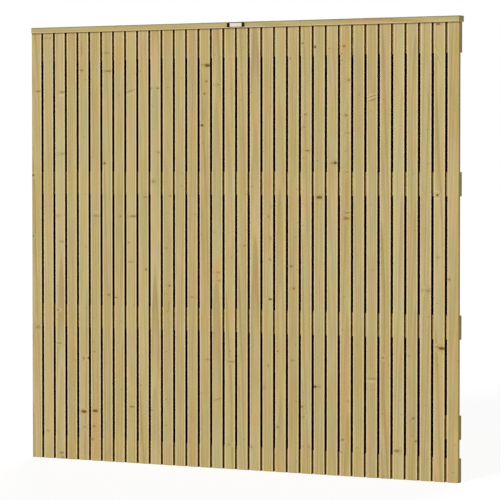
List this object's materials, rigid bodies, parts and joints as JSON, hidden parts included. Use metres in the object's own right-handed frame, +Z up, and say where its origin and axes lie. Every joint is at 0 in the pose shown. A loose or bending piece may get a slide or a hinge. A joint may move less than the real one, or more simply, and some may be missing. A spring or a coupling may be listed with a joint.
{
  "type": "wooden fence panel",
  "caption": "Closed privacy fence panel of treated softwood: upright slats in two staggered layers on full-length rails, under a cap rail with a small blank plate.",
  "frame": {"origin": "Middle of the foot of the panel, halfway through its thickness, on the plane that the slats and the bottom rail end on.", "axes": "X along the panel towards its right end seen from the front, Y from the front to the rear, Z up."},
  "size_m": [2.0002, 0.0473, 1.824],
  "materials": {
    "front_wood": "planed and pressure-treated, matt",
    "rear_wood": "planed and pressure-treated, matt",
    "rail_wood": "planed and pressure-treated, matt",
    "cap_wood": "planed and pressure-treated, matt",
    "plate": "matt black with a plain white field",
    "fixing": "zinc-plated"
  },
  "bodies": {
    "root": {"front_slat_01": "front_wood", "front_slat_02": "front_wood", "front_slat_03": "front_wood", "front_slat_04": "front_wood", "front_slat_05": "front_wood", "front_slat_06": "front_wood", "front_slat_07": "front_wood", "front_slat_08": "front_wood", "front_slat_09": "front_wood", "front_slat_10": "front_wood", "front_slat_11": "front_wood", "front_slat_12": "front_wood", "front_slat_13": "front_wood", "front_slat_14": "front_wood", "front_slat_15": "front_wood", "front_slat_16": "front_wood", "front_slat_17": "front_wood", "front_slat_18": "front_wood", "front_slat_19": "front_wood", "front_slat_20": "front_wood", "front_slat_21": "front_wood", "front_slat_22": "front_wood", "front_slat_23": "front_wood", "front_slat_24": "front_wood", "front_slat_25": "front_wood", "front_slat_26": "front_wood", "front_slat_27": "front_wood", "front_slat_28": "front_wood", "front_slat_29": "front_wood", "front_slat_30": "front_wood", "front_slat_31": "front_wood", "front_slat_32": "front_wood", "front_slat_33": "front_wood", "front_slat_34": "front_wood", "rear_slats_01_03": "rear_wood", "rear_slats_04_06": "rear_wood", "rear_slats_07_09": "rear_wood", "rear_slats_10_12": "rear_wood", "rear_slats_13_15": "rear_wood", "rear_slats_16_18": "rear_wood", "rear_slats_19_21": "rear_wood", "rear_slats_22_24": "rear_wood", "rear_slats_25_27": "rear_wood", "rear_slats_28_30": "rear_wood", "rear_slats_31_33": "rear_wood", "bottom_rail": "rail_wood", "lower_middle_rail": "rail_wood", "upper_middle_rail": "rail_wood", "top_rail": "rail_wood", "end_block": "rail_wood", "cap_rail": "cap_wood", "cap_screws": "fixing", "blank_plate": "plate", "plate_pins": "fixing"}
  },
  "joints": []
}
